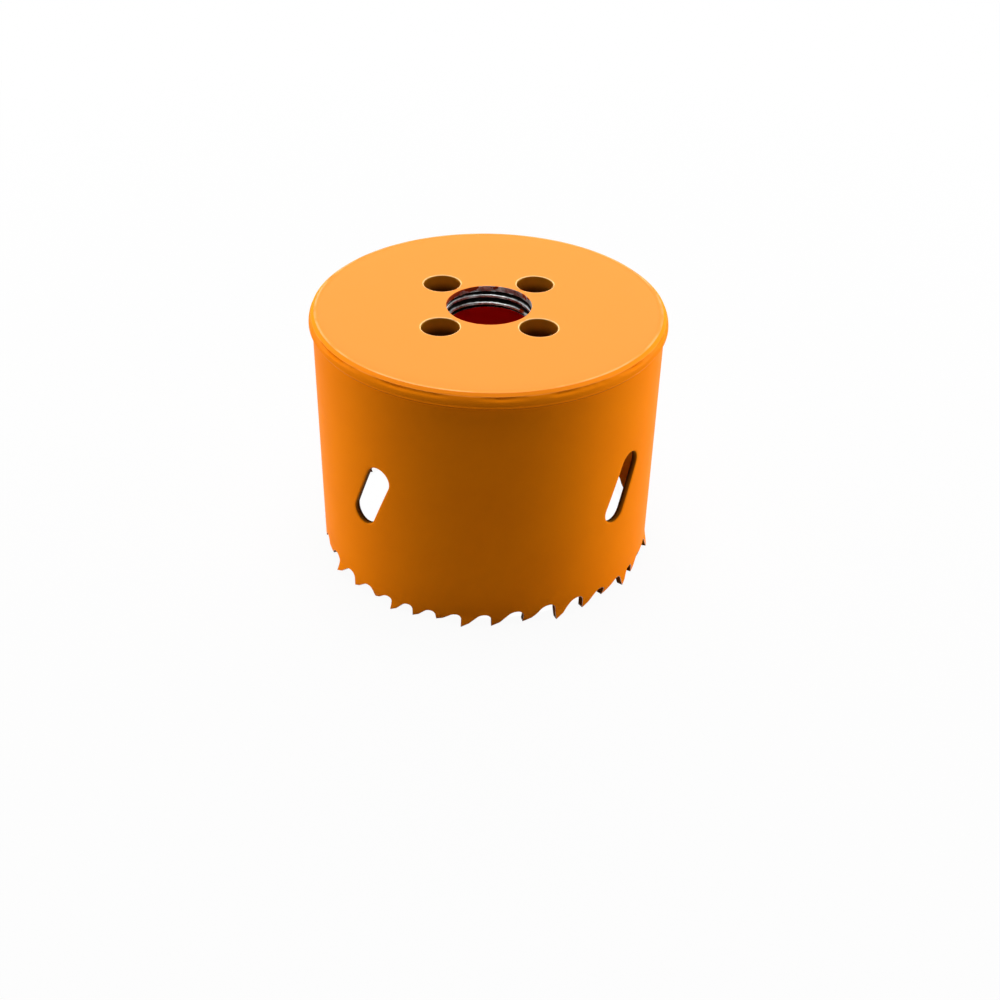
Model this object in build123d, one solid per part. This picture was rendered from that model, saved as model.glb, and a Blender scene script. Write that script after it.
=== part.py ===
from build123d import *
from math import asin, atan2, cos, degrees, hypot, radians, sin, tan
import os

# A hole saw for wood and metal, in millimetres. It stands on its tooth tips: the
# origin is on its axis at the plane of the tips, and +Z points to the end plate.
# Angles are measured from the front (-Y), positive towards +X.

# Overall sizes
cutting_diameter = 60.0     # hole that the saw cuts, across the outward-set tooth tips
overall_height = 45.0       # tooth tips to the top of the end plate
tooth_set = 0.6             # how far a set tooth leans out of the wall
wall = 1.1                  # thickness of the band and of the tooth edge

# End plate
plate_thickness = 4.0
bore_radius = 7.2           # minor radius of the 5/8 inch - 18 thread
bore_chamfer = 0.2
pin_hole_diameter = 6.35    # 1/4 inch
pin_web = 0.9               # metal left between a pin hole and the bore
pin_hole_count = 4
pin_hole_chamfer = 0.15
first_pin_angle = -43.2
lead_in = 0.4               # chamfer by which the plate enters the band

# Weld bead between the plate and the band
bead_proud = 0.6            # how far the bead stands out of the band
bead_shoulder = 0.4         # from the band's outside in to the edge of the flush top
band_end_depth = 1.8        # top of the plate down to the end of the band
bead_crown_depth = 1.9      # top of the plate down to the widest part of the bead
bead_toe_depth = 2.75       # top of the plate down to the bead's lower edge

# Clearing slots
slot_count = 4
slot_width = 4.5
slot_end_distance = 8.3     # between the centres of the two round ends
slot_slant = 23.6           # degrees from upright, top leaning towards +X
slot_height = 21.4          # height of the slot's centre
first_slot_angle = -39.0

# Tooth edge
tooth_count = 38
pitch_waves = 4             # how often the pitch runs from wide to narrow in a turn
pitch_swing = 0.168         # share by which the pitch differs from its mean
widest_pitch_angle = 19.6
first_tooth_angle = -174.9
gullet_share_shallow = 0.406 # depth of the shallowest and deepest gullet, as shares of the mean pitch
gullet_share_deep = 0.614
land_share = 0.257          # land behind the tip, as a share of the tooth's own pitch, as are the next
front_radius_share = 0.18   # gullet radius under the rake face
back_radius_share = 0.37    # gullet radius behind the relief
ceiling_share = 0.023       # flat between the two radii
relief_angle = 26.8         # slope of the land
tip_flat = 0.1              # on which the saw stands
bend_clearance = 0.15       # from the shallowest gullet down to where the set teeth start to lean
strip_margin = 1.15         # from the deepest gullet up to the seam with the band

# Sizes that follow from the ones above
body_radius = cutting_diameter / 2 - tooth_set
inner_radius = body_radius - wall
plate_underside = overall_height - plate_thickness
pin_circle_radius = bore_radius + pin_web + pin_hole_diameter / 2
band_end = overall_height - band_end_depth
mean_pitch_angle = 360.0 / tooth_count
mean_pitch = radians(mean_pitch_angle) * body_radius
shallow_gullet = gullet_share_shallow * mean_pitch
deep_gullet = gullet_share_deep * mean_pitch
bend_height = shallow_gullet - bend_clearance
edge_height = deep_gullet + strip_margin
set_pattern = (tooth_set, 0.0, -tooth_set)   # out, straight, in


def at_angle(angle, radius):
    """Takes what is modelled at the origin, facing the front, out to `radius` and round to `angle`."""
    return Rot(0, 0, angle) * Pos(0, -radius, 0)


def make_end_plate():
    """Turned disc with the arbor's bore and the drive-pin holes."""
    profile = Polyline(
        (bore_radius, plate_underside + bore_chamfer),
        (bore_radius + bore_chamfer, plate_underside),
        (inner_radius - lead_in, plate_underside),
        (inner_radius, plate_underside + lead_in),
        (inner_radius, overall_height),
        (bore_radius + bore_chamfer, overall_height),
        (bore_radius, overall_height - bore_chamfer),
        close=True,
    )
    disc = revolve(Plane.XZ * make_face(profile), Axis.Z)
    pin_radius = pin_hole_diameter / 2
    mouth_radius = pin_radius + pin_hole_chamfer
    low = plate_underside + pin_hole_chamfer
    high = overall_height - pin_hole_chamfer
    drill_profile = Polyline(
        (0, plate_underside),
        (mouth_radius, plate_underside),
        (pin_radius, low),
        (pin_radius, high),
        (mouth_radius, overall_height),
        (0, overall_height),
        close=True,
    )
    drill = revolve(Plane.XZ * make_face(drill_profile), Axis.Z)
    for hole in range(pin_hole_count):
        angle = first_pin_angle + hole * 360.0 / pin_hole_count
        disc -= at_angle(angle, pin_circle_radius) * drill
    return disc


def make_rim_weld():
    """Bead that stands on the band's end beside the plate and laps over the band's outside."""
    root = (inner_radius, band_end)
    flush_start = (inner_radius, overall_height)
    flush_end = (body_radius - bead_shoulder, overall_height)
    crown = (body_radius + bead_proud, overall_height - bead_crown_depth)
    toe = (body_radius, overall_height - bead_toe_depth)
    band_corner = (body_radius, band_end)
    outline = [
        Polyline(toe, band_corner, root, flush_start, flush_end),
        TangentArc(crown, flush_end, tangent=(0, 1)),
        TangentArc(crown, toe, tangent=(0, -1)),
    ]
    return revolve(Plane.XZ * make_face(outline), Axis.Z)


def make_slot_cutter():
    """Oblong bar across the wall, slanted, at the front."""
    outline = Plane.XZ * Rot(0, 0, 90 - slot_slant) * SlotCenterToCenter(slot_end_distance, slot_width)
    bar = extrude(outline, 2 * wall, both=True)
    return Pos(0, 0, slot_height) * bar


def make_saw_shell():
    """Rolled band between the tooth edge and the weld, with its clearing slots."""
    height = band_end - edge_height
    tube = Cylinder(body_radius, height) - Cylinder(inner_radius, height)
    band = Pos(0, 0, edge_height + height / 2) * tube
    cutter = make_slot_cutter()
    for slot in range(slot_count):
        angle = first_slot_angle + slot * 360.0 / slot_count
        band -= at_angle(angle, body_radius) * cutter
    return band


def tooth_angle(index):
    """Angle of a tooth's tip. The swing spaces the teeth unevenly."""
    even = first_tooth_angle + index * mean_pitch_angle
    wave = sin(radians(pitch_waves * (even - widest_pitch_angle)))
    return even + degrees(pitch_swing / pitch_waves) * wave


def gullet_depth(index):
    """Depth of the gullet before tooth `index`. Wide pitches have deep gullets."""
    middle = (tooth_angle(index - 1) + tooth_angle(index)) / 2
    share = (1 + cos(radians(pitch_waves * (middle - widest_pitch_angle)))) / 2
    return shallow_gullet + (deep_gullet - shallow_gullet) * share**2


def pitch_length(index):
    """Distance on the outside of the band from tooth `index - 1` to tooth `index`."""
    return radians(tooth_angle(index) - tooth_angle(index - 1)) * body_radius


def make_sector(lean, from_angle, to_angle):
    """Sector of the edge strip whose lower part leans out or in by `lean`."""
    outline = Polyline(
        (inner_radius, edge_height),
        (inner_radius, bend_height),
        (inner_radius + lean, 0),
        (body_radius + lean, 0),
        (body_radius, bend_height),
        (body_radius, edge_height),
        close=True,
    )
    section = Plane.XZ * make_face(outline)
    return Rot(0, 0, from_angle - 90) * revolve(section, Axis.Z, to_angle - from_angle)


def make_tooth_outline(index):
    """Tooth `index` seen from outside: x runs back from its rake face, y up from its tip.

    Returns the face, and the x of the middle of the gullet on each side of the tooth.
    """
    ahead = pitch_length(index)
    behind = pitch_length(index + 1)
    front_depth = gullet_depth(index)
    back_depth = gullet_depth(index + 1)

    # Rake face and the rounded gullet in front of it
    front_radius = front_radius_share * ahead
    front_start = (0, front_depth - front_radius)
    front_top = (-front_radius, front_depth)
    front_middle = -front_radius - ceiling_share * ahead / 2

    # Land, relief and the wider round that runs up to the next gullet's ceiling
    back_radius = back_radius_share * behind
    back_top = (behind * (1 - front_radius_share - ceiling_share), back_depth)
    back_middle = back_top[0] + ceiling_share * behind / 2
    land = land_share * behind
    land_end = (tip_flat + land, land * tan(radians(relief_angle)))
    run = back_top[0] - land_end[0]
    rise = back_depth - back_radius - land_end[1]
    slope = atan2(rise, run) + asin(back_radius / hypot(run, rise))
    relief_end = (back_top[0] - back_radius * sin(slope), back_depth - back_radius * (1 - cos(slope)))

    # The blank runs past the sector's sides and top
    margin = wall
    top = edge_height + margin
    left = front_middle - margin
    right = back_middle + margin
    outline = [
        Polyline(relief_end, land_end, (tip_flat, 0), (0, 0), front_start),
        TangentArc(front_start, front_top, tangent=(0, 1)),
        Polyline(front_top, (left, front_depth), (left, top), (right, top), (right, back_depth), back_top),
        TangentArc(relief_end, back_top, tangent=(cos(slope), sin(slope))),
    ]
    return make_face(outline), front_middle, back_middle


def make_tooth(index):
    """One tooth: a sector of the strip, leaning by its set and cut to its outline."""
    outline, front_middle, back_middle = make_tooth_outline(index)
    bar = extrude(Plane.XZ * outline, wall + 2 * tooth_set, both=True)
    tip = tooth_angle(index)
    from_angle = tip + degrees(front_middle / body_radius)
    to_angle = tip + degrees(back_middle / body_radius)
    sector = make_sector(set_pattern[index % len(set_pattern)], from_angle, to_angle)
    return sector & (at_angle(tip, body_radius) * bar)


def make_tooth_edge():
    """Toothed strip: the teeth joined side to side into a ring."""
    teeth = [make_tooth(index) for index in range(tooth_count)]
    return teeth[0].fuse(*teeth[1:]).clean()


os.makedirs("parts", exist_ok=True)
export_step(make_end_plate(), "parts/end_plate.step")
export_step(make_rim_weld(), "parts/rim_weld.step")
export_step(make_saw_shell(), "parts/saw_shell.step")
export_step(make_tooth_edge(), "parts/tooth_edge.step")
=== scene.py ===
from math import asin, cos, pi, radians, sin, tan

import bmesh
import bpy
from mathutils import Matrix, Vector


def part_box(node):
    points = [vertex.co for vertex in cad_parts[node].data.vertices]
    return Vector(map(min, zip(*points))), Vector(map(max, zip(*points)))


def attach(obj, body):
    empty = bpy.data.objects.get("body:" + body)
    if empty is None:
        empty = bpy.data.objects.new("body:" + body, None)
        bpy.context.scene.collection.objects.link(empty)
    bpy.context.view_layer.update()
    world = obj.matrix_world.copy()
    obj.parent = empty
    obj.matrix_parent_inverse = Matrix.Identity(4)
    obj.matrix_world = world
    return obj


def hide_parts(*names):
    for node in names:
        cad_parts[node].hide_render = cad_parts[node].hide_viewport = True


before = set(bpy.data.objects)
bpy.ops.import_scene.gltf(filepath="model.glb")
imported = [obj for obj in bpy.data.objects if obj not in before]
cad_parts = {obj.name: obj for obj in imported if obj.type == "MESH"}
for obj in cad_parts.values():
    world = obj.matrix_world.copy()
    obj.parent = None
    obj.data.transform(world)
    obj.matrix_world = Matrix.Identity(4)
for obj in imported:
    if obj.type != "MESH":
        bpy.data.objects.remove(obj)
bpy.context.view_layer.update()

mm = 0.001

# Main sizes, read off the frame
plateLow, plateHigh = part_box("end_plate")
weldLow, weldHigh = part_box("rim_weld")
bandLow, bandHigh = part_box("saw_shell")
edgeLow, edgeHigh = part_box("tooth_edge")
topHeight = plateHigh.z
plateRadius = plateHigh.x
bandRadius = bandHigh.x
wallThickness = bandRadius - plateRadius
print("frame: band radius", round(bandRadius / mm, 2), "mm, height", round(topHeight / mm, 2), "mm")


# Node helpers: a Quantity is a number inside a node tree, so that the trees below read as formulas

def connect(tree, value, socket):
    if isinstance(value, Quantity):
        value = value.socket
    if isinstance(value, bpy.types.NodeSocket):
        tree.links.new(value, socket)
    else:
        socket.default_value = value


def addNode(tree, kind, inputs=None, **settings):
    node = tree.nodes.new(kind)
    for name, value in settings.items():
        setattr(node, name, value)
    for name, value in (inputs or {}).items():
        connect(tree, value, node.inputs[name])
    return node


def mathNode(tree, operation, *values, clamp=False):
    node = addNode(tree, "ShaderNodeMath", dict(enumerate(values)), operation=operation, use_clamp=clamp)
    return Quantity(tree, node.outputs[0])


class Quantity:
    def __init__(self, tree, socket):
        self.tree = tree
        self.socket = socket

    def math(self, operation, *others, clamp=False):
        return mathNode(self.tree, operation, self, *others, clamp=clamp)

    def __add__(self, other):
        return self.math("ADD", other)

    def __sub__(self, other):
        return self.math("SUBTRACT", other)

    def __mul__(self, other):
        return self.math("MULTIPLY", other)

    def __truediv__(self, other):
        return self.math("DIVIDE", other)

    def __rsub__(self, other):
        return mathNode(self.tree, "SUBTRACT", other, self)

    def __rtruediv__(self, other):
        return mathNode(self.tree, "DIVIDE", other, self)

    __radd__ = __add__
    __rmul__ = __mul__

    def sine(self):
        return self.math("SINE")

    def cosine(self):
        return self.math("COSINE")

    def squared(self):
        return self * self

    def root(self):
        return self.math("SQRT")

    def floor(self):
        return self.math("FLOOR")

    def above(self, limit):
        return self.math("GREATER_THAN", limit)

    def below(self, limit):
        return self.math("LESS_THAN", limit)

    def ramp(self, start, steps):  # 0 before start, 1 after so many steps
        return ((self - start) / steps).math("ADD", 0.0, clamp=True)

    def towards(self, other, share):
        return self + (other - self) * share


def startTree(name, sizes):
    tree = bpy.data.node_groups.new(name, "GeometryNodeTree")
    tree.interface.new_socket("Geometry", in_out="INPUT", socket_type="NodeSocketGeometry")
    tree.interface.new_socket("Geometry", in_out="OUTPUT", socket_type="NodeSocketGeometry")
    for label in sizes:
        tree.interface.new_socket(label, in_out="INPUT", socket_type="NodeSocketFloat")
    entry = addNode(tree, "NodeGroupInput")
    return tree, entry.outputs["Geometry"], {label: Quantity(tree, entry.outputs[label]) for label in sizes}


def startGrid(tree, around, across):
    # A sheet of points, and which step round and which step across each point is
    grid = addNode(tree, "GeometryNodeMeshGrid", {"Vertices X": around + 1, "Vertices Y": across + 1})
    index = Quantity(tree, addNode(tree, "GeometryNodeInputIndex").outputs[0])
    column = ((index + 0.5) / (across + 1)).floor()
    return grid.outputs["Mesh"], column, index - column * (across + 1)


def placePoints(tree, geometry, radius, angle, height):
    # Angles run from the front (-Y) towards +X, as in the frame
    place = addNode(tree, "ShaderNodeCombineXYZ", {
        "X": radius * angle.sine(), "Y": radius * angle.cosine() * -1.0, "Z": height})
    moved = addNode(tree, "GeometryNodeSetPosition", {"Geometry": geometry, "Position": place.outputs[0]})
    return moved.outputs["Geometry"]


def endTree(tree, geometry, material):
    real = addNode(tree, "GeometryNodeRealizeInstances", {"Geometry": geometry})
    painted = addNode(tree, "GeometryNodeSetMaterial", {"Geometry": real.outputs[0], "Material": material})
    addNode(tree, "NodeGroupOutput", {"Geometry": painted.outputs[0]})


def bakeTree(name, tree, sizes, mesh=None):
    piece = bpy.data.objects.new(name, mesh or bpy.data.meshes.new(name))
    bpy.context.scene.collection.objects.link(piece)
    modifier = piece.modifiers.new(tree.name, "NODES")
    modifier.node_group = tree
    for socket in tree.interface.items_tree:
        if socket.in_out == "INPUT" and socket.name in sizes:
            modifier[socket.identifier] = float(sizes[socket.name])
    return bakeModifiers(piece)


def bakeModifiers(piece):
    graph = bpy.context.evaluated_depsgraph_get()
    baked = bpy.data.meshes.new_from_object(piece.evaluated_get(graph), depsgraph=graph)
    piece.modifiers.clear()
    piece.data = baked
    baked.name = piece.name
    return piece


def closeSeams(piece, gap=0.002 * mm, sliver=0.0005 * mm):
    # Welds the seams, takes out faces without area and turns every face outwards
    skin = bmesh.new()
    skin.from_mesh(piece.data)
    bmesh.ops.remove_doubles(skin, verts=skin.verts, dist=gap)
    bmesh.ops.dissolve_degenerate(skin, edges=skin.edges, dist=sliver)
    bmesh.ops.recalc_face_normals(skin, faces=skin.faces)
    openEdges = sum(1 for edge in skin.edges if len(edge.link_faces) != 2)
    skin.to_mesh(piece.data)
    skin.free()
    if openEdges:
        print("warning:", piece.name, "has", openEdges, "open edges")
    return piece


def roundEdges(piece, width, below, steps=2, angle=35):
    # Rounds the sharp edges that lie wholly below a height; the tips stay where they stand
    skin = bmesh.new()
    skin.from_mesh(piece.data)
    sharp = [edge for edge in skin.edges if edge.calc_face_angle(0.0) > radians(angle)
             and max(end.co.z for end in edge.verts) < below]
    bmesh.ops.bevel(skin, geom=sharp, offset=width, segments=steps, profile=0.5, affect="EDGES",
                    clamp_overlap=False)
    for point in skin.verts:
        point.co.z = max(point.co.z, edgeLow.z)
    skin.to_mesh(piece.data)
    skin.free()
    return piece


def smoothPiece(piece, angle=35):
    piece.data.shade_smooth()
    piece.data.set_sharp_from_angle(angle=radians(angle))
    return piece


def finishPiece(piece, slotName, *nodes):
    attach(piece, "root")
    if nodes:
        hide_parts(*nodes)
    triangles = sum(len(face.vertices) - 2 for face in piece.data.polygons)
    print("piece:", piece.name, triangles, "triangles")


# Paint and steel

paint = {
    "orange": (0.93, 0.238, 0.003),
    "thinOrange": (0.90, 0.224, 0.003),
    "sheenOrange": (0.92, 0.288, 0.048),     # flush top drawn paler: painted sheen of the lamps on it
    "innerOrange": (0.92, 0.29, 0.003),     # inside, near the open end
    "primer": (0.95, 0.006, 0.006),         # red, shows where the orange coat did not reach
    "pinHoleShade": (0.60, 0.23, 0.014),           # painted shade on the pin-hole walls; the next, a deeper painted shade further down
    "pinHoleDeepShade": (0.11, 0.04, 0.003),
    "cutFaceShade": (0.36, 0.13, 0.008),       # painted shade on the cut faces of slots and teeth; the next, a deeper painted shade inwards
    "cutFaceDeepShade": (0.06, 0.022, 0.003),
    "creaseShade": (0.40, 0.095, 0.001),    # painted shade under the bead
    "slopeHighlight": (0.97, 0.265, 0.012),    # painted highlight on the slope round the flush top, brighter and yellower
    "pinMouthHighlight": (1.0, 0.60, 0.24),       # painted highlight over the mouths of the pin holes
    "edgeLineHighlight": (1.0, 0.40, 0.13),      # painted highlight, a broken pale line along the edge of the flush top
    "plateSpecular": 0.012,                 # low, or the white room veils the orange
    "bandSpecular": 0.004,                  # lower still on the sides, which are seen at a flat angle
    "roughness": 0.38,
    "roughnessDrift": 0.08,
    "roughnessScale": 320.0,                # waves per metre, as are the next two
    "driftScale": 70.0,                     # slow change of tone
    "peelScale": 1150.0,                    # texture of a sprayed coat
    "peelHeight": 0.0022 * mm,
    "primerRadius": (plateRadius + 0.1 * mm, plateRadius + 0.55 * mm),
    "primerHeight": (19 * mm, 28 * mm),     # from orange below to red above
    "primerWobble": 6 * mm,
}


def startMaterial(name):
    material = bpy.data.materials.new(name)
    material.use_nodes = True
    tree = material.node_tree
    place = addNode(tree, "ShaderNodeTexCoord").outputs["Object"]
    parts = addNode(tree, "ShaderNodeSeparateXYZ", {"Vector": place})
    x, y, z = (Quantity(tree, socket) for socket in parts.outputs)
    return material, tree, tree.nodes["Principled BSDF"], place, (x.squared() + y.squared()).root(), z


def noise(tree, place, scale, detail=2.0, roughness=0.5):
    node = addNode(tree, "ShaderNodeTexNoise", {
        "Vector": place, "Scale": scale, "Detail": detail, "Roughness": roughness})
    return Quantity(tree, node.outputs["Fac"])


def mixColour(tree, share, first, second):
    node = addNode(tree, "ShaderNodeMix", {0: share}, data_type="RGBA")
    for value, socket in ((first, node.inputs[6]), (second, node.inputs[7])):
        connect(tree, value if isinstance(value, bpy.types.NodeSocket) else (*value, 1.0), socket)
    return node.outputs[2]


def smoothStep(value, low, high):
    share = ((value - low) / (high - low)).math("ADD", 0.0, clamp=True)
    return share.squared() * (3.0 - share * 2.0)


def addPeel(tree, place, height, scale, base=None):
    # Fine waves of a sprayed coat
    inputs = {"Strength": 1.0, "Distance": height, "Height": noise(tree, place, scale, 1.5)}
    if base:
        inputs["Normal"] = base
    return addNode(tree, "ShaderNodeBump", inputs).outputs["Normal"]


def enamelColour(tree, place, height):
    drift = noise(tree, place, paint["driftScale"], 3.0)
    body = mixColour(tree, smoothStep(drift, 0.35, 0.75), paint["orange"], paint["thinOrange"])
    # Painted sheen: the flush top is drawn in a paler orange than the sides
    flush = smoothStep(height, topHeight - 0.4 * mm, topHeight - 0.05 * mm)
    return mixColour(tree, flush, body, paint["sheenOrange"])


def enamel(name, specular, paintedLight, insideCoat=None):
    # Rules for how much red primer and painted light and shade show, and in what colour
    material, tree, shader, place, radius, height = startMaterial(name)
    colour = enamelColour(tree, place, height)
    uneven = noise(tree, place, paint["roughnessScale"]) - 0.5
    rough = paint["roughness"] + uneven * paint["roughnessDrift"]
    if insideCoat:
        primed, inside = insideCoat(tree, place, radius, height)
        colour = mixColour(tree, primed, colour, inside)
        rough = rough + primed * 0.2
    share, lightAndShadeColour = paintedLight(tree, place, radius, height)
    colour = mixColour(tree, share, colour, lightAndShadeColour)
    connect(tree, colour, shader.inputs["Base Color"])
    connect(tree, rough, shader.inputs["Roughness"])
    shader.inputs["Specular IOR Level"].default_value = specular
    shader.inputs["Specular Tint"].default_value = (*paint["orange"], 1.0)
    peel = addPeel(tree, place, paint["peelHeight"], paint["peelScale"])
    connect(tree, peel, shader.inputs["Normal"])
    return material


def primedInside(tree, place, radius, height):
    # Inner face of the wall: red up by the plate, orange near the open end
    wobble = (noise(tree, place, 140.0, 4.0) - 0.5) * paint["primerWobble"]
    inner = 1.0 - smoothStep(radius, *paint["primerRadius"])
    high = smoothStep(height + wobble, *paint["primerHeight"])
    return inner, mixColour(tree, high, paint["innerOrange"], paint["primer"])


def primedUnderside(tree, place, radius, height):
    orange = smoothStep(height, plateLow.z + 0.1 * mm, plateLow.z + 0.5 * mm)
    return 1.0 - orange, paint["primer"]


def shadeOnCuts(tree, place, radius, height):
    # Painted shade on the cut faces of the slots and, by the share stored with their points, of the teeth;
    # darker inwards
    slot = (smoothStep(radius, plateRadius + 0.06 * mm, plateRadius + 0.2 * mm)
            * (1.0 - smoothStep(radius, bandRadius - 0.2 * mm, bandRadius - 0.05 * mm))
            * height.above(edgeHigh.z + 0.5 * mm) * height.below(bandHigh.z - 0.5 * mm))
    deep = 1.0 - smoothStep(radius, plateRadius + 0.2 * mm, bandRadius - 0.2 * mm)
    cut = addNode(tree, "ShaderNodeAttribute", attribute_name="cutShare").outputs["Fac"]
    tooth = smoothStep(Quantity(tree, cut), 0.02, 0.2) * (1.0 - smoothStep(Quantity(tree, cut), 0.9, 1.0))
    depth = (deep * slot).math("MAXIMUM", tooth * 0.5)
    return slot.math("MAXIMUM", tooth), mixColour(tree, depth, paint["cutFaceShade"], paint["cutFaceDeepShade"])


def shadeAndHighlightInPinHoles(tree, place, radius, height):
    # Painted shade on the walls of the drive-pin holes, darker with depth, and a painted highlight on their
    # mouths
    parts = addNode(tree, "ShaderNodeSeparateXYZ", {"Vector": place})
    x, y = Quantity(tree, parts.outputs["X"]), Quantity(tree, parts.outputs["Y"])
    turn = x.math("ARCTAN2", y * -1.0) - plate["firstPin"]
    step = 2 * pi / plate["pins"]
    off = turn - ((turn / step) + 0.5).floor() * step
    along, across = radius * off.cosine() - plate["pinCircle"], radius * off.sine()
    fromPin = (along.squared() + across.squared()).root()
    mouthRadius = plate["pinRadius"] + plate["pinRound"]
    covered = 1.0 - smoothStep(fromPin, mouthRadius, mouthRadius + 0.07 * mm)
    roundLow = topHeight - plate["pinRound"]
    mouth = smoothStep(height, roundLow, roundLow + 0.03 * mm)
    # Painted shade, deeper further down the hole
    deep = 1.0 - smoothStep(height, topHeight - 2.9 * mm, topHeight - 1.1 * mm)
    wall = mixColour(tree, deep, paint["pinHoleShade"], paint["pinHoleDeepShade"])
    return covered, mixColour(tree, mouth, wall, paint["pinMouthHighlight"])


def edgeHighlightsAndCreaseShade(tree, place, radius, height):
    # Painted highlights: a broken pale line on the flush top's edge and the slope round it; and painted shade
    # in the crease under the bead
    edge, slopeLow = weld["edge"], weld["slopeEnd"][1]
    line = (smoothStep(radius, edge - 0.42 * mm, edge - 0.22 * mm)
            * (1.0 - smoothStep(radius, edge - 0.05 * mm, edge + 0.06 * mm))
            * height.above(topHeight - 0.2 * mm)
            * smoothStep(noise(tree, place, 160.0, 3.0), 0.36, 0.6))
    slope = (smoothStep(radius, edge - 0.02 * mm, edge + 0.08 * mm)
             * smoothStep(height, slopeLow - 0.12 * mm, slopeLow + 0.06 * mm))
    toe = weld["toe"][1] + weld["toeWander"]
    # Painted shade in the crease under the bead
    crease = ((1.0 - smoothStep(radius, bandRadius + 0.12 * mm, bandRadius + 0.5 * mm))
              * radius.above(bandRadius - 0.02 * mm)
              * height.above(toe - 0.35 * mm) * height.below(toe + 0.7 * mm))
    under = 1.0 - smoothStep(height, toe, toe + 0.9 * mm)
    slopeAndEdgeLight = mixColour(tree, slope, paint["edgeLineHighlight"], paint["slopeHighlight"])
    colour = mixColour(tree, crease.above(0.01), slopeAndEdgeLight, paint["creaseShade"])
    return line.math("MAXIMUM", slope) + crease * under * 0.75, colour


steel = {
    "crest": (0.74, 0.80, 0.80),
    # root: near black, painted shade in the thread's grooves
    "root": (0.014, 0.013, 0.012),
    "crestRoughness": 0.28,
    "rootRoughness": 0.6,
    "redTrace": (0.42, 0.045, 0.01),
    "grainScale": 2600.0,       # waves per metre
    "grainHeight": 0.012 * mm,
}


def threadSteel():
    material, tree, shader, place, radius, height = startMaterial("threadSteel")
    # Painted shade: the thread is drawn near black towards its roots, with random grime on top
    deep = smoothStep(radius, thread["crestRadius"] + 0.04 * mm, thread["crestRadius"] + 0.34 * mm)
    grime = smoothStep(noise(tree, place, 900.0, 4.0, 0.65), 0.42, 0.62)
    dark = (deep + grime * 0.45).math("MINIMUM", 1.0)
    metal = mixColour(tree, dark, steel["crest"], steel["root"])
    # Paint on the face, and specks of red that ran in over the first turn, most of it on the left
    face = smoothStep(height, topHeight - 0.05 * mm, topHeight - 0.02 * mm)
    run = smoothStep(height, topHeight - 1.3 * mm, topHeight - 0.2 * mm)
    side = addNode(tree, "ShaderNodeSeparateXYZ", {"Vector": place}).outputs["X"]
    left = smoothStep(Quantity(tree, side), 1 * mm, -5 * mm)
    specks = smoothStep(noise(tree, place, 330.0, 3.0, 0.6) + run * (0.09 + left * 0.25), 0.66, 0.72)
    speckled = mixColour(tree, specks, metal, steel["redTrace"])
    colour = mixColour(tree, face, speckled, enamelColour(tree, place, height))
    covered = face.math("MAXIMUM", specks)
    connect(tree, colour, shader.inputs["Base Color"])
    connect(tree, 1.0 - covered, shader.inputs["Metallic"])
    shader.inputs["Specular IOR Level"].default_value = paint["plateSpecular"]
    rough = steel["crestRoughness"] + deep * 0.3
    connect(tree, rough + (paint["roughness"] - rough) * covered, shader.inputs["Roughness"])
    peel = addPeel(tree, place, paint["peelHeight"], paint["peelScale"])
    grain = addPeel(tree, place, steel["grainHeight"], steel["grainScale"], peel)
    connect(tree, grain, shader.inputs["Normal"])
    return material


# A quarter is modelled once and repeated round the axis

def roundPoint(radius, angle, height):
    return Vector((radius * sin(angle), -radius * cos(angle), height))


def blend(first, second, share):
    return first + (second - first) * share


def addStrip(points, faces, rows, closed):
    # Joins rows of equally many points with four-sided faces
    start, width = len(points), len(rows[0])
    for row in rows:
        points.extend(row)
    for line in range(len(rows) - 1):
        for step in range(width if closed else width - 1):
            after = (step + 1) % width
            near, far = start + line * width, start + (line + 1) * width
            faces.append((near + step, near + after, far + after, far + step))


def quarterMesh(name, points, faces):
    mesh = bpy.data.meshes.new(name)
    mesh.from_pydata([tuple(point) for point in points], [], faces)
    return mesh


def repeatRound(name, mesh, count, firstAngle, material):
    sizes = {"Count": count, "First Angle": firstAngle}
    tree, shape, size = startTree(name + "Repeat", sizes)
    spots = addNode(tree, "GeometryNodeMeshLine", {"Count": size["Count"], "Offset": (0.0, 0.0, 0.0)})
    index = Quantity(tree, addNode(tree, "GeometryNodeInputIndex").outputs[0])
    turn = addNode(tree, "FunctionNodeAxisAngleToRotation", {
        "Axis": (0.0, 0.0, 1.0), "Angle": size["First Angle"] + index * (2 * pi) / size["Count"]})
    copies = addNode(tree, "GeometryNodeInstanceOnPoints", {
        "Points": spots.outputs["Mesh"], "Instance": shape, "Rotation": turn.outputs[0]})
    endTree(tree, copies.outputs[0], material)
    return closeSeams(bakeTree(name, tree, sizes, mesh))


# Saw shell: the rolled band with its clearing slots

shell = {
    "slots": 4,
    "firstSlot": radians(-39),
    "slotWidth": 4.5 * mm,
    "slotEnds": 8.3 * mm,       # between the centres of the round ends
    "slotSlant": radians(23.6),
    "slotHeight": 21.4 * mm,
    "slotRound": 0.22 * mm,     # rounding of the punched and painted edge
    "capSteps": 36,
    "sideSteps": 24,
    "rings": 15,
    "ringBunching": 1.25,       # more than 1 draws the rings closer together near the slot
    "roundSteps": 4,
}


def slotOutline():
    # Points and outward directions round the slot, from its upper left corner over the top
    along = Vector((sin(shell["slotSlant"]), cos(shell["slotSlant"])))
    across = Vector((along.y, -along.x))
    half = shell["slotWidth"] / 2
    top = along * shell["slotEnds"] / 2
    outline = []
    for side in (1, -1):
        for step in range(shell["capSteps"]):
            turn = pi * step / shell["capSteps"]
            direction = (along * sin(turn) - across * cos(turn)) * side
            outline.append((top * side + direction * half, direction))
        for step in range(shell["sideSteps"]):
            share = 1 - 2 * step / shell["sideSteps"]
            outline.append((top * side * share + across * side * half, across * side))
    return outline


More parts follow.
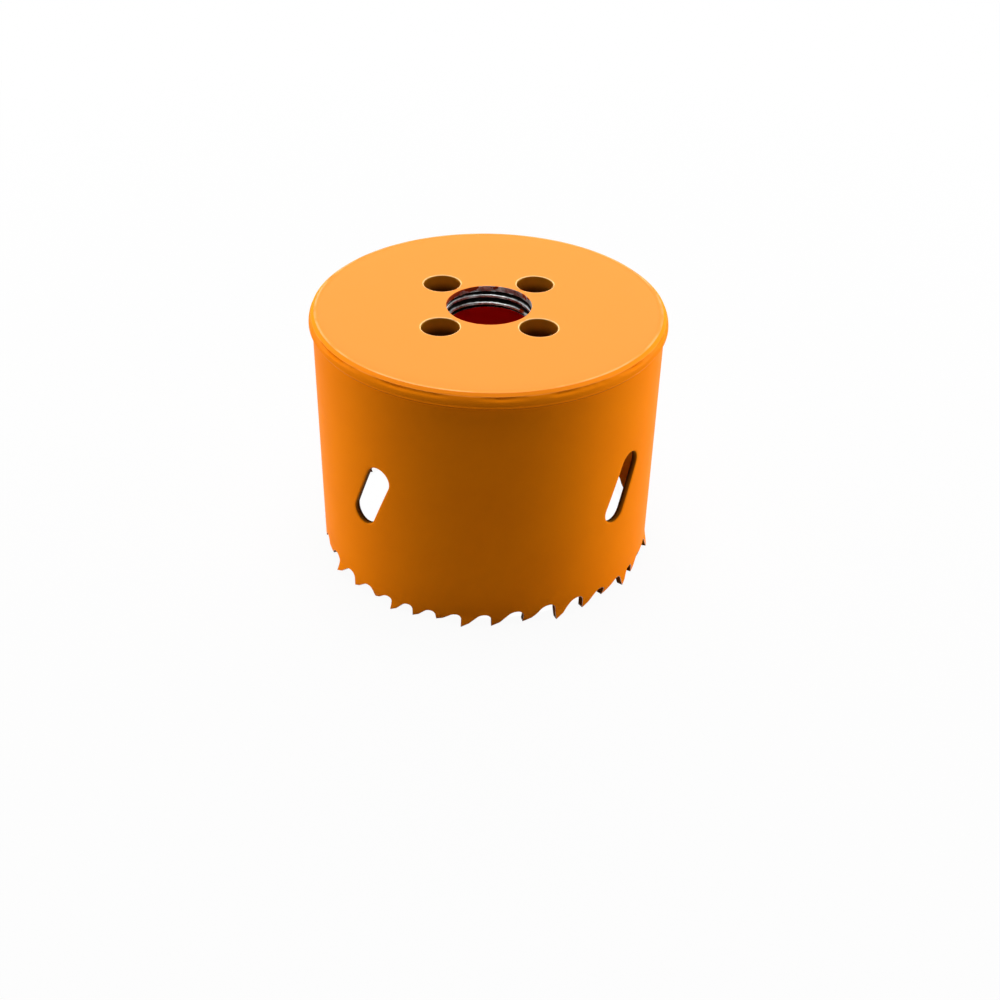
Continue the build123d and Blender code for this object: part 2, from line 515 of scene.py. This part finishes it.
def slotBorder():
    # The quarter's own edge in the same order, as angle and height
    reach = pi / shell["slots"]
    low, high = bandLow.z - shell["slotHeight"], bandHigh.z - shell["slotHeight"]
    border = [(-reach + 2 * reach * step / shell["capSteps"], high) for step in range(shell["capSteps"])]
    border += [(reach, high + (low - high) * step / shell["sideSteps"]) for step in range(shell["sideSteps"])]
    border += [(reach - 2 * reach * step / shell["capSteps"], low) for step in range(shell["capSteps"])]
    border += [(-reach, low + (high - low) * step / shell["sideSteps"]) for step in range(shell["sideSteps"])]
    return border


def makeSawShell(material):
    outer, inner, lip = bandRadius, plateRadius, shell["slotRound"]
    shares = [1 - (1 - ring / shell["rings"]) ** shell["ringBunching"] for ring in range(shell["rings"] + 1)]
    stations = [(outer, lip, share) for share in shares]                    # radius, offset, nearness
    turns = [pi / 2 * step / shell["roundSteps"] for step in range(1, shell["roundSteps"] + 1)]
    stations += [(outer - lip * (1 - cos(turn)), lip * (1 - sin(turn)), 1.0) for turn in turns]
    stations += [(inner + lip * (1 - cos(turn)), lip * (1 - sin(turn)), 1.0) for turn in reversed(turns)]
    stations += [(inner, lip, share) for share in reversed(shares)]
    rows = []
    for radius, offset, share in stations:
        row = []
        for (point, direction), (edgeAngle, edgeHeight) in zip(slotOutline(), slotBorder()):
            spot = point + direction * offset
            angle = blend(edgeAngle, asin(spot.x / radius), share)
            row.append(roundPoint(radius, angle, shell["slotHeight"] + blend(edgeHeight, spot.y, share)))
        rows.append(row)
    points, faces = [], []
    addStrip(points, faces, rows, closed=True)
    caps, half = shell["capSteps"], shell["capSteps"] + shell["sideSteps"]
    for start in (0, half):
        stop = start + caps + 1
        addStrip(points, faces, [rows[0][start:stop], rows[-1][start:stop]], closed=False)
    quarter = quarterMesh("shellQuarter", points, faces)
    return repeatRound("sawShell", quarter, shell["slots"], shell["firstSlot"], material)


# End plate with its drive-pin holes

plate = {
    "pins": 4,
    "firstPin": radians(-43.2),
    "pinCircle": 11.275 * mm,   # radius
    "pinRadius": 3.175 * mm,
    "pinRound": 0.15 * mm,
    "boreRadius": 8.02 * mm,    # where the threaded ring sits
    "leadIn": 0.4 * mm,
    "rimSteps": 40,
    "sideSteps": 16,
    "boreSteps": 28,
    "rings": 12,
    "ringBunching": 1.3,
    "roundSteps": 5,
    "fuseDip": 0.035 * mm,      # faint groove where the plate meets the weld
    "fuseWidth": 0.3 * mm,
}


def plateBorder(rimRadius):
    # Edge of the plate's quarter as angle and radius, with the direction that faces it from the pin hole
    reach, border = pi / plate["pins"], []
    runs = (
        (plate["rimSteps"], (-reach, rimRadius), (reach, rimRadius), (-60, 60)),
        (plate["sideSteps"], (reach, rimRadius), (reach, plate["boreRadius"]), (60, 115)),
        (plate["boreSteps"], (reach, plate["boreRadius"]), (-reach, plate["boreRadius"]), (115, 245)),
        (plate["sideSteps"], (-reach, plate["boreRadius"]), (-reach, rimRadius), (245, 300)),
    )
    for steps, (angle, radius), (endAngle, endRadius), (facing, endFacing) in runs:
        for step in range(steps):
            share = step / steps
            border.append((blend(angle, endAngle, share), blend(radius, endRadius, share),
                           radians(blend(facing, endFacing, share))))
    return border


def plateRow(rimRadius, holeRadius, share, height, dip=0.0):
    row = []
    for angle, radius, facing in plateBorder(rimRadius):
        edge = roundPoint(radius, angle, height)
        hole = Vector((holeRadius * sin(facing), -plate["pinCircle"] - holeRadius * cos(facing), height))
        row.append(blend(edge, hole, share))
    return row


def makeEndPlate(material):
    low, high, lip = plateLow.z, plateHigh.z, plate["pinRound"]
    rimLow = plateRadius - plate["leadIn"]
    hole = plate["pinRadius"]
    shares = [1 - (1 - ring / plate["rings"]) ** plate["ringBunching"] for ring in range(plate["rings"] + 1)]
    turns = [pi / 2 * step / plate["roundSteps"] for step in range(1, plate["roundSteps"] + 1)]
    rows = [plateRow(plateRadius - plate["fuseWidth"], hole + lip, share, high) for share in shares]
    rows += [plateRow(plateRadius, hole + lip * (1 - sin(turn)), 1.0, high - lip * (1 - cos(turn)))
             for turn in turns]
    rows += [plateRow(rimLow, hole + lip * (1 - sin(turn)), 1.0, low + lip * (1 - cos(turn)))
             for turn in reversed(turns)]
    rows += [plateRow(rimLow, hole + lip, share, low) for share in reversed(shares)]
    points, faces = [], []
    addStrip(points, faces, rows, closed=True)
    # Rim: the fused edge, the side in the band and the lead-in
    angles = [angle for angle, radius, facing in plateBorder(plateRadius)[:plate["rimSteps"]]]
    angles.append(pi / plate["pins"])
    rim = [
        (plateRadius - plate["fuseWidth"], high),
        (plateRadius, high - plate["fuseDip"]),
        (plateRadius, low + plate["leadIn"]),
        (rimLow, low),
    ]
    rimRows = [[roundPoint(radius, angle, height) for angle in angles] for radius, height in rim]
    addStrip(points, faces, rimRows, closed=False)
    start = plate["rimSteps"] + plate["sideSteps"]
    stop = start + plate["boreSteps"] + 1
    addStrip(points, faces, [rows[0][start:stop], rows[-1][start:stop]], closed=False)
    quarter = quarterMesh("plateQuarter", points, faces)
    return repeatRound("endPlate", quarter, plate["pins"], plate["firstPin"], material)


# Arbor thread: 5/8 inch - 18, cut in the ring that the plate's bore holds

thread = {
    "pitch": 25.4 / 18 * mm,
    "crestRadius": 7.15 * mm,
    "depth": 0.74 * mm,
    "crestHeight": 43.05 * mm,  # of a crest at the back of the bore
    "turnsBelow": 2,            # from there down to the start of the helix
    "turns": 5,
    "rowsPerTurn": 16,
    "mouth": 0.05 * mm,         # bevel at both ends
    "closedFrom": 43.8 * mm,    # from here up the groove is beaten shut
    "closedOver": 0.22 * mm,
}


def makeArborThread(material):
    sizes = {
        "Pitch": thread["pitch"], "Crest Radius": thread["crestRadius"], "Depth": thread["depth"],
        "Crest Height": thread["crestHeight"], "Ring Radius": plate["boreRadius"],
        "Bottom": plateLow.z, "Top": plateHigh.z, "First Angle": plate["firstPin"] - pi / plate["pins"],
        "Mouth": thread["mouth"], "Closed From": thread["closedFrom"], "Closed Over": thread["closedOver"],
    }
    tree, entry, size = startTree("arborThreadCut", sizes)
    around = plate["boreSteps"] * plate["pins"]
    rows = thread["rowsPerTurn"] * thread["turns"]
    # After the helix: the upper mouth, the ring's outside, the lower mouth, and the first row again
    grid, column, row = startGrid(tree, around, rows + 5)
    turn = column / around                      # share of a whole turn
    helixRow = row * row.below(rows + 4.5)
    rowHeight = size["Pitch"] / thread["rowsPerTurn"]
    # Right-hand helix: seen from above it climbs counter-clockwise. Half a turn lies between front and back.
    fromBack = size["First Angle"] / (2 * pi) - 0.5
    start = size["Crest Height"] + size["Pitch"] * (fromBack - thread["turnsBelow"])
    free = start + helixRow * rowHeight + turn * size["Pitch"]
    height = free.math("MAXIMUM", size["Bottom"] + size["Mouth"]).math("MINIMUM", size["Top"] - size["Mouth"])
    phase = (height - start - turn * size["Pitch"]) / size["Pitch"]
    fromCrest = (phase - (phase + 0.5).floor()).math("ABSOLUTE") * size["Pitch"]
    # Flat crests a quarter of the pitch wide, and flanks at 60 degrees
    flank = (fromCrest - size["Pitch"] / 8.0) * tan(radians(60))
    closed = height.ramp(size["Closed From"], size["Closed Over"])
    cut = flank.math("MAXIMUM", 0.0).math("MINIMUM", size["Depth"]) * (1.0 - closed)
    mouth = row.above(rows + 0.5) * row.below(rows + 4.5)
    ring = row.above(rows + 1.5) * row.below(rows + 3.5)
    radius = size["Crest Radius"] + cut * (1.0 - mouth) + size["Mouth"] * mouth
    endHeight = size["Top"].towards(size["Bottom"], row.above(rows + 2.5))
    place = placePoints(tree, grid, radius.towards(size["Ring Radius"], ring),
                        size["First Angle"] + turn * (2 * pi), height.towards(endHeight, mouth))
    endTree(tree, place, material)
    return closeSeams(bakeTree("arborThread", tree, sizes))


# Weld bead between the plate and the band

weld = {
    "edge": 29.0 * mm,          # radius at which the flush top ends
    "topDip": 0.02 * mm,        # of the flush top, between the fused groove and that edge
    "slopeEnd": (29.55 * mm, 44.58 * mm),           # radius and height, as are the next two
    "crown": (weldHigh.x, 43.1 * mm),
    "toe": (bandRadius, weldLow.z),
    "upperTurns": (radians(-50), radians(-88)),     # directions from the slope to the crown
    "lowerTurns": (radians(-106), radians(-126)),   # directions from the crown to the toe
    "slopeSteps": 3,
    "upperSteps": 8,
    "lowerSteps": 8,
    "around": 360,
    "ripple": 0.05 * mm,
    "groove": 0.26 * mm,        # uneven groove below the slope
    "grooveBelow": 0.32 * mm,   # from the slope's lower end down to its middle
    "grooveReach": 0.3 * mm,    # from its middle to where it fades out
    "toeWander": 0.13 * mm,
}


def arcPoints(start, end, startTurn, endTurn, steps):
    # Points after `start` on a curve whose direction turns evenly, fitted between its two ends
    points, place = [], Vector((0.0, 0.0))
    for step in range(steps):
        turn = blend(startTurn, endTurn, (step + 0.5) / steps)
        place = place + Vector((cos(turn), sin(turn)))
        points.append(place.copy())
    across, rise = (end[0] - start[0]) / place.x, (end[1] - start[1]) / place.y
    return [(start[0] + point.x * across, start[1] + point.y * rise) for point in points]


def weldOutline():
    # Radius and height of each step: band corner, root, fused edge, flat, slope, crown, toe and up the band
    edge = (weld["edge"], topHeight)
    slopeEnd, crown, toe = weld["slopeEnd"], weld["crown"], weld["toe"]
    outline = [
        (bandRadius, bandHigh.z),
        (plateRadius, bandHigh.z),
        (plateRadius, topHeight - plate["fuseDip"]),
        (plateRadius + plate["fuseWidth"], topHeight),
        (blend(plateRadius + plate["fuseWidth"], edge[0], 0.5), topHeight - weld["topDip"]),
        edge,
    ]
    for step in range(1, weld["slopeSteps"] + 1):
        share = step / weld["slopeSteps"]
        outline.append((blend(edge[0], slopeEnd[0], share), blend(edge[1], slopeEnd[1], share)))
    outline += arcPoints(slopeEnd, crown, *weld["upperTurns"], weld["upperSteps"])
    outline += arcPoints(crown, toe, *weld["lowerTurns"], weld["lowerSteps"])
    outline.append((bandRadius, bandHigh.z))
    return outline


def makeRimWeld(material):
    sizes = {
        "Steps Around": weld["around"], "Crown Height": weld["crown"][1], "Ripple": weld["ripple"],
        "Slope Top": topHeight, "Toe Drop": weld["crown"][1] - weld["toe"][1],
        "Toe Wander": weld["toeWander"], "Groove": weld["groove"], "Groove Reach": weld["grooveReach"],
        "Groove Height": weld["slopeEnd"][1] - weld["grooveBelow"],
    }
    outline = weldOutline()
    profile = bpy.data.meshes.new("rimWeldProfile")
    profile.from_pydata([(radius, 0.0, height) for radius, height in outline], [], [])
    tree, shape, size = startTree("rimWeldBead", sizes)
    grid, column, row = startGrid(tree, size["Steps Around"], len(outline) - 1)
    outlinePlace = addNode(tree, "GeometryNodeInputPosition").outputs[0]
    point = addNode(tree, "GeometryNodeSampleIndex", {
        "Geometry": shape, "Value": outlinePlace, "Index": row + 0.25},
        data_type="FLOAT_VECTOR", domain="POINT")
    parts = addNode(tree, "ShaderNodeSeparateXYZ", {"Vector": point.outputs[0]})
    radius, height = Quantity(tree, parts.outputs["X"]), Quantity(tree, parts.outputs["Z"])
    angle = column * (2 * pi) / size["Steps Around"]
    # Slow irregularity of a machine-laid bead, the same on both sides of the seam
    ringPlace = addNode(tree, "ShaderNodeCombineXYZ", {
        "X": angle.sine(), "Y": angle.cosine(), "Z": 0.0}).outputs[0]
    lumps = noise(tree, ringPlace, 4.0, 4.0, 0.6)
    wander = noise(tree, ringPlace, 9.0, 3.0, 0.6) - 0.5

    # Lumps below the top edge fade out towards the toe; the toe itself wanders up and down
    onBead = row.above(5.5) * row.below(len(outline) - 1.5)
    below = (size["Crown Height"] - height) / size["Toe Drop"]
    fade = below.math("MAXIMUM", 0.0).math("MINIMUM", 1.0) * onBead
    upper = (size["Slope Top"] - height) / (size["Slope Top"] - size["Crown Height"])
    swell = upper.math("MINIMUM", 1.0).math("MAXIMUM", 0.0) * (1.0 - fade) * onBead
    patches = smoothStep(noise(tree, ringPlace, 3.0, 4.0, 0.65), 0.42, 0.62)
    fromGroove = (height - size["Groove Height"]).math("ABSOLUTE") / size["Groove Reach"]
    groove = (1.0 - fromGroove.math("MINIMUM", 1.0).squared()) * patches * size["Groove"] * onBead
    sunk = radius - lumps * size["Ripple"] * swell - groove
    shifted = height + wander * size["Toe Wander"] * fade
    endTree(tree, placePoints(tree, grid, sunk, angle, shifted), material)
    return closeSeams(bakeTree("rimWeld", tree, sizes, profile))


# Tooth edge: unevenly spaced raker-set teeth, all from one rule

teeth = {
    "count": 38,
    "waves": 4,                 # how often the pitch runs from wide to narrow in a turn
    "swing": 0.168,
    "widest": radians(19.6),
    "first": radians(-174.9),
    "set": 0.6 * mm,
    "shallow": 0.406,           # gullet depths as shares of the mean pitch
    "deep": 0.614,
    "land": 0.257,              # these four as shares of the tooth's own pitch
    "frontRound": 0.18,
    "backRound": 0.37,
    "ceiling": 0.023,
    "relief": radians(26.8),
    "tipFlat": 0.1 * mm,
    "bendClearance": 0.15 * mm,
    "bendCurve": 1.3,           # 1 leans straight, more bends softly
    "edgeRound": 0.05 * mm,
    # Steps along half the ceiling, front round, rake, tip, land, relief, back round and half the ceiling
    "steps": (1, 7, 4, 1, 2, 6, 8, 1),
    "wallRows": 9,
    "tipRows": 4,
}


def makeToothEdge(material):
    sizes = {
        "Tooth Count": teeth["count"], "Pitch Waves": teeth["waves"], "Pitch Swing": teeth["swing"],
        "Widest Pitch": teeth["widest"], "First Tooth": teeth["first"], "Tooth Set": teeth["set"],
        "Shallow Gullet": teeth["shallow"], "Deep Gullet": teeth["deep"], "Land": teeth["land"],
        "Front Round": teeth["frontRound"], "Back Round": teeth["backRound"], "Ceiling": teeth["ceiling"],
        "Relief": teeth["relief"], "Tip Flat": teeth["tipFlat"], "Bend Clearance": teeth["bendClearance"],
        "Bend Curve": teeth["bendCurve"], "Band Radius": bandRadius, "Wall": wallThickness, "Top": edgeHigh.z,
    }
    tree, entry, size = startTree("toothEdgeRule", sizes)
    runs = teeth["steps"]
    perTooth = sum(runs)
    starts = [sum(runs[:place]) for place in range(len(runs))]
    wallRows, tipRows = teeth["wallRows"], teeth["tipRows"]
    lastRow = 2 * wallRows + tipRows
    grid, column, row = startGrid(tree, size["Tooth Count"] * perTooth, lastRow + 1)
    tooth = ((column + 0.5) / perTooth).floor()
    step = column - tooth * perTooth

    meanAngle = 2 * pi / size["Tooth Count"]
    meanPitch = meanAngle * size["Band Radius"]

    def toothAngle(index):
        even = size["First Tooth"] + index * meanAngle
        wave = ((even - size["Widest Pitch"]) * size["Pitch Waves"]).sine()
        return even + wave * size["Pitch Swing"] / size["Pitch Waves"]

    def gulletDepth(angleBefore, angleAfter):
        middle = (angleBefore + angleAfter) / 2.0 - size["Widest Pitch"]
        share = ((middle * size["Pitch Waves"]).cosine() + 1.0) / 2.0
        return size["Shallow Gullet"].towards(size["Deep Gullet"], share.squared()) * meanPitch

    before, tip, after = toothAngle(tooth - 1.0), toothAngle(tooth), toothAngle(tooth + 1.0)
    ahead = (tip - before) * size["Band Radius"]
    behind = (after - tip) * size["Band Radius"]
    frontDepth, backDepth = gulletDepth(before, tip), gulletDepth(tip, after)

    frontRound = size["Front Round"] * ahead
    backRound = size["Back Round"] * behind
    frontMiddle = frontRound * -1.0 - size["Ceiling"] * ahead / 2.0
    backTop = behind * (1.0 - size["Front Round"] - size["Ceiling"])
    backMiddle = backTop + size["Ceiling"] * behind / 2.0
    land = size["Land"] * behind
    landRise = land * size["Relief"].math("TANGENT")
    run = backTop - size["Tip Flat"] - land
    rise = backDepth - backRound - landRise
    slope = rise.math("ARCTAN2", run) + (backRound / (run.squared() + rise.squared()).root()).math("ARCSINE")
    reliefRun = run - backRound * slope.sine()
    reliefRise = backDepth - backRound * (1.0 - slope.cosine()) - landRise

    # Each run of steps adds its part of the way along the outline
    ceilingIn, front, rake, flat, onLand, relief, back, ceilingOut = (
        step.ramp(float(start), float(count)) for start, count in zip(starts, runs))
    frontTurn = front * (pi / 2)
    backTurn = slope * (1.0 - back)
    along = (frontMiddle + size["Ceiling"] * ahead / 2.0 * ceilingIn
             + frontRound * frontTurn.sine()
             + size["Tip Flat"] * flat + land * onLand + reliefRun * relief
             + backRound * (slope.sine() - backTurn.sine())
             + size["Ceiling"] * behind / 2.0 * ceilingOut)
    tall = (frontDepth - frontRound * (1.0 - frontTurn.cosine())
            - (frontDepth - frontRound) * rake
            + landRise * onLand + reliefRise * relief
            + backRound * (backTurn.cosine() - slope.cosine()) * back.above(0.0))

    # Rows run down the outside, across the tip and up the inside
    down = row.math("MINIMUM", lastRow - row) / float(wallRows)
    down = down.math("MINIMUM", 1.0).math("MAXIMUM", 0.0)
    through = ((row - wallRows) / tipRows).math("ADD", 0.0, clamp=True) * row.below(lastRow + 0.5)
    seamPlace = frontMiddle.towards(backMiddle, step / perTooth)
    place = seamPlace.towards(along, down)
    height = size["Top"].towards(tall, down)

    # Raker set: out, straight, in
    turnInSet = tooth - ((tooth + 0.5) / 3.0).floor() * 3.0
    lean = size["Tooth Set"] * (1.0 - turnInSet)
    bendHeight = size["Shallow Gullet"] * meanPitch - size["Bend Clearance"]
    bent = (1.0 - height / bendHeight).math("MAXIMUM", 0.0).math("POWER", size["Bend Curve"])
    radius = size["Band Radius"] - size["Wall"] * through + lean * bent
    placed = placePoints(tree, grid, radius, tip + place / size["Band Radius"], height)
    # How far through the wall a point is, for the painted shade on the cut faces
    cutShare = through * down.above(0.99)
    shares = addNode(tree, "GeometryNodeStoreNamedAttribute", {
        "Geometry": placed, "Name": "cutShare", "Value": cutShare}, data_type="FLOAT", domain="POINT")
    endTree(tree, shares.outputs[0], material)
    return closeSeams(bakeTree("toothEdge", tree, sizes))


# Build and dress the pieces

shellEnamel = enamel("shellEnamel", paint["bandSpecular"], shadeOnCuts, primedInside)
plateEnamel = enamel("plateEnamel", paint["plateSpecular"], shadeAndHighlightInPinHoles, primedUnderside)
weldEnamel = enamel("weldEnamel", paint["bandSpecular"], edgeHighlightsAndCreaseShade)

sawShell = smoothPiece(makeSawShell(shellEnamel))
finishPiece(sawShell, "orange_enamel", "saw_shell")

endPlate = smoothPiece(makeEndPlate(plateEnamel))
finishPiece(endPlate, "orange_enamel", "end_plate")

arborThread = smoothPiece(makeArborThread(threadSteel()), angle=25)
finishPiece(arborThread, "bare_steel")

rimWeld = smoothPiece(makeRimWeld(weldEnamel))
finishPiece(rimWeld, "orange_enamel", "rim_weld")

toothEdge = roundEdges(makeToothEdge(shellEnamel), teeth["edgeRound"], edgeHigh.z - 0.2 * mm)
finishPiece(smoothPiece(toothEdge), "orange_enamel", "tooth_edge")
print("pieces done")


# Floor, lamps and camera

studio = {
    "floorRadius": 1.6,
    "floorColour": (0.56, 0.56, 0.56),
    "whiteShare": 0.95,         # how far the floor shows as paper white to the camera
    "whiteFrom": 0.10,          # beyond this distance it turns all white
    "whiteTo": 0.30,
    "ambient": 0.02,            # share of the white room that falls on surfaces as light
    "lampBase": 0.02,           # height that the lamps' tilt is measured from
}


def whiteRays(tree):
    # 1 for what is seen directly, in gloss or through glass, 0 for light that falls on surfaces
    path = addNode(tree, "ShaderNodeLightPath")
    seen = Quantity(tree, path.outputs["Is Camera Ray"])
    seen = seen.math("MAXIMUM", path.outputs["Is Glossy Ray"])
    return seen.math("MAXIMUM", path.outputs["Is Transmission Ray"])


def makeFloor():
    disc = bmesh.new()
    bmesh.ops.create_circle(disc, cap_ends=True, segments=96, radius=studio["floorRadius"])
    mesh = bpy.data.meshes.new("floor")
    disc.to_mesh(mesh)
    disc.free()
    floor = bpy.data.objects.new("floor", mesh)
    bpy.context.scene.collection.objects.link(floor)
    material, tree, shader, place, radius, height = startMaterial("paleFloor")
    tree.nodes.remove(shader)
    matt = addNode(tree, "ShaderNodeBsdfDiffuse", {"Color": (*studio["floorColour"], 1.0)})
    paper = addNode(tree, "ShaderNodeEmission", {"Color": (1.0, 1.0, 1.0, 1.0), "Strength": 1.0})
    away = smoothStep(radius, studio["whiteFrom"], studio["whiteTo"])
    inside = radius.below(plateRadius - 1 * mm)
    white = studio["whiteShare"] + away.math("MAXIMUM", inside) * (1.0 - studio["whiteShare"])
    share = white * whiteRays(tree)
    lit = addNode(tree, "ShaderNodeMixShader", {0: share, 1: matt.outputs[0], 2: paper.outputs[0]})
    # Seen from underneath the floor is clear
    clear = addNode(tree, "ShaderNodeBsdfTransparent")
    underneath = addNode(tree, "ShaderNodeNewGeometry").outputs["Backfacing"]
    both = addNode(tree, "ShaderNodeMixShader", {0: underneath, 1: lit.outputs[0], 2: clear.outputs[0]})
    connect(tree, both.outputs[0], tree.nodes["Material Output"].inputs["Surface"])
    mesh.materials.append(material)


def makeWorld():
    world = bpy.data.worlds.new("studioWorld")
    world.use_nodes = True
    tree = world.node_tree
    strength = studio["ambient"] + (1.0 - studio["ambient"]) * whiteRays(tree)
    background = tree.nodes["Background"]
    background.inputs["Color"].default_value = (1.0, 1.0, 1.0, 1.0)
    connect(tree, strength, background.inputs["Strength"])
    bpy.context.scene.world = world


def aimAt(item, target, roll=0.0):
    facing = (Vector(target) - item.location).to_track_quat("-Z", "Y").to_matrix()
    item.rotation_euler = (facing @ Matrix.Rotation(roll, 3, "Z")).to_euler()


# Turn from the front and tilt are in degrees, as seen from the saw; distance and size are in metres
softboxes = {
    "leftBox": {"turn": -105, "tilt": 4, "away": 0.38, "size": (0.22, 0.10), "power": 1.27},
    "rightBox": {"turn": 105, "tilt": 4, "away": 0.38, "size": (0.22, 0.10), "power": 1.43},
    "topBox": {"turn": 0, "tilt": 90, "away": 0.42, "size": (0.2, 0.2), "power": 1.7},
    "backBox": {"turn": 180, "tilt": 40, "away": 0.42, "size": (0.40, 0.12), "power": 1.0},
}


def makeLamps():
    for name, box in softboxes.items():
        lamp = bpy.data.lights.new(name, "AREA")
        lamp.shape = "RECTANGLE"
        lamp.size, lamp.size_y = box["size"]
        lamp.energy = box["power"]
        item = bpy.data.objects.new(name, lamp)
        bpy.context.scene.collection.objects.link(item)
        turn, tilt = radians(box["turn"]), radians(box["tilt"])
        lift = box["away"] * sin(tilt) + studio["lampBase"]
        item.location = roundPoint(box["away"] * cos(tilt), turn, lift)
        aimAt(item, (0.0, 0.0, topHeight / 2))


view = {
    "place": (2.7 * mm, -199.87 * mm, 145.2 * mm),
    "target": (2.585 * mm, 0.0, 5.32 * mm),
    "roll": radians(1.332),     # how far the camera leans to its own left
    "lens": 47.76,              # millimetres, as is the sensor
    "sensor": 36.0,
    "near": 0.01,
    "far": 10.0,
}


def makeCamera():
    data = bpy.data.cameras.new("camera")
    data.sensor_width = view["sensor"]
    data.lens = view["lens"]
    data.clip_start = view["near"]
    data.clip_end = view["far"]
    camera = bpy.data.objects.new("camera", data)
    bpy.context.scene.collection.objects.link(camera)
    camera.location = view["place"]
    aimAt(camera, view["target"], view["roll"])
    bpy.context.scene.camera = camera


makeFloor()
makeWorld()
makeLamps()
makeCamera()
bpy.context.scene.view_settings.view_transform = "Standard"
print("studio done")

bpy.context.view_layer.update()
